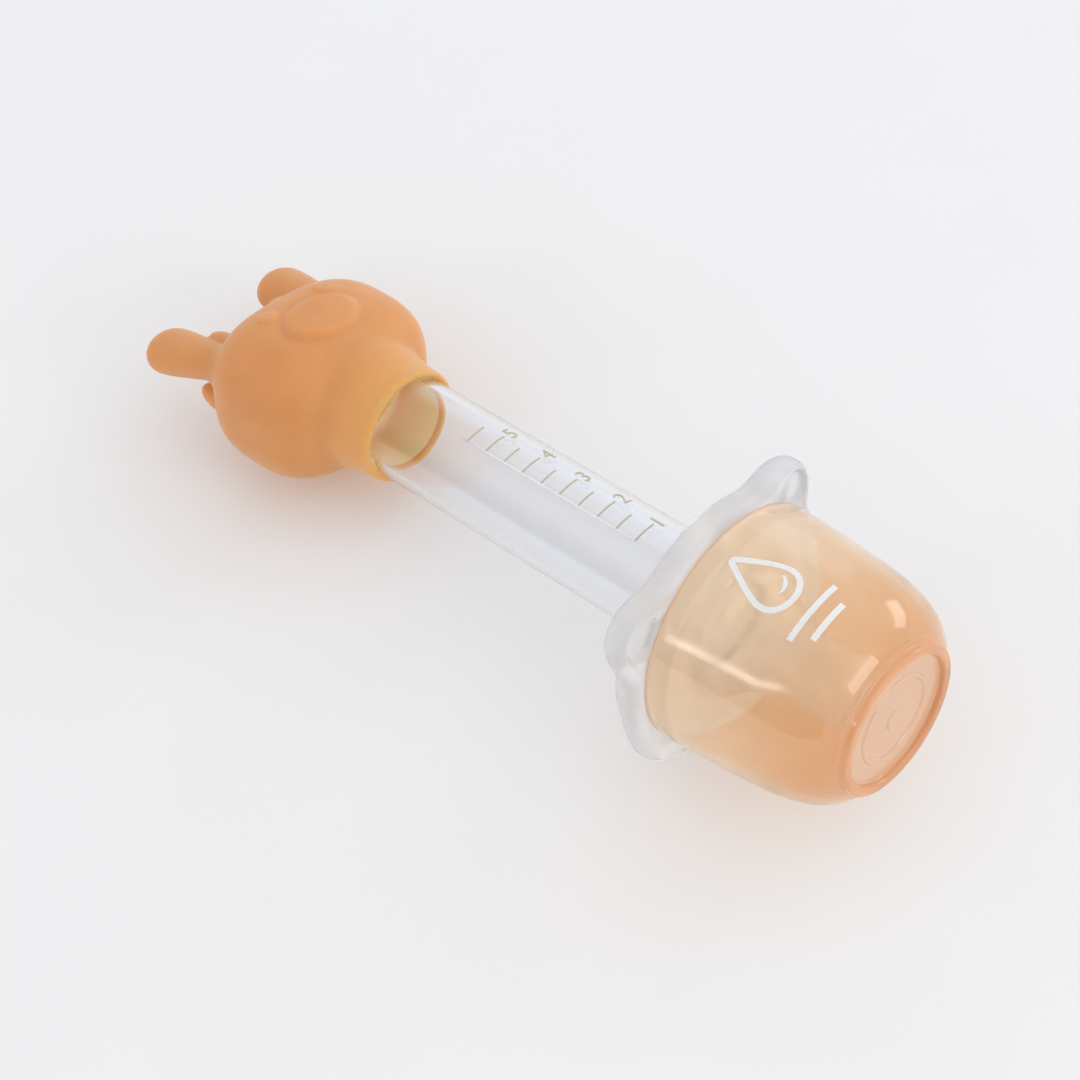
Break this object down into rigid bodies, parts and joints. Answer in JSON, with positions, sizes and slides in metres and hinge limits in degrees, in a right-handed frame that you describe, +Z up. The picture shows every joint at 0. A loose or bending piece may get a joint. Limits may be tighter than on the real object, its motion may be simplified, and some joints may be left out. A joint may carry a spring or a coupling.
{
  "type": "medicine dropper",
  "caption": "Baby medicine dropper: clear barrel with a raised scale, squeeze bulb shaped like an animal's head, soft nipple with a mouth shield, and a push-on dust cap, lying at rest.",
  "frame": {"origin": "centre of the bounding box in X and Y, at its bottom, which is the table that the dropper lies on", "axes": "+X runs from the bulb to the dust cap; +Z is up, the side that the shield's ears point to; the barrel leans up towards +X by about five degrees"},
  "size_m": [0.1342, 0.0392, 0.0391],
  "materials": {
    "clear_plastic": "clear, glossy moulded plastic",
    "scale_ink": "tan raised marks, smooth",
    "bulb_silicone": "soft apricot silicone, satin and slightly translucent",
    "nipple_silicone": "milky clear silicone, satin",
    "cap_plastic": "translucent peach plastic, glossy"
  },
  "bodies": {
    "barrel": {"barrel": "clear_plastic", "scale_marks": "scale_ink"},
    "bulb": {"bulb_shell": "bulb_silicone"},
    "bulb_cheek": {"bulb_cheek": "bulb_silicone"},
    "nipple_shield": {"nipple_shield": "nipple_silicone"},
    "dust_cap": {"dust_cap": "cap_plastic"}
  },
  "joints": [
    {"name": "bulb_pull", "type": "slide", "parent": "barrel", "child": "bulb", "axis": [-0.9966, 0, -0.0823], "range_m": [0, 0.03]},
    {"name": "bulb_squeeze", "type": "slide", "parent": "bulb", "child": "bulb_cheek", "axis": [0.0199, 0.9703, -0.2411], "range_m": [0, 0.005], "stiffness_N_per_m": 1200},
    {"name": "nipple_pull", "type": "slide", "parent": "barrel", "child": "nipple_shield", "axis": [0.9966, 0, 0.0823], "range_m": [0, 0.04]},
    {"name": "cap_pull", "type": "slide", "parent": "nipple_shield", "child": "dust_cap", "axis": [0.9966, 0, 0.0823], "range_m": [0, 0.04]}
  ]
}
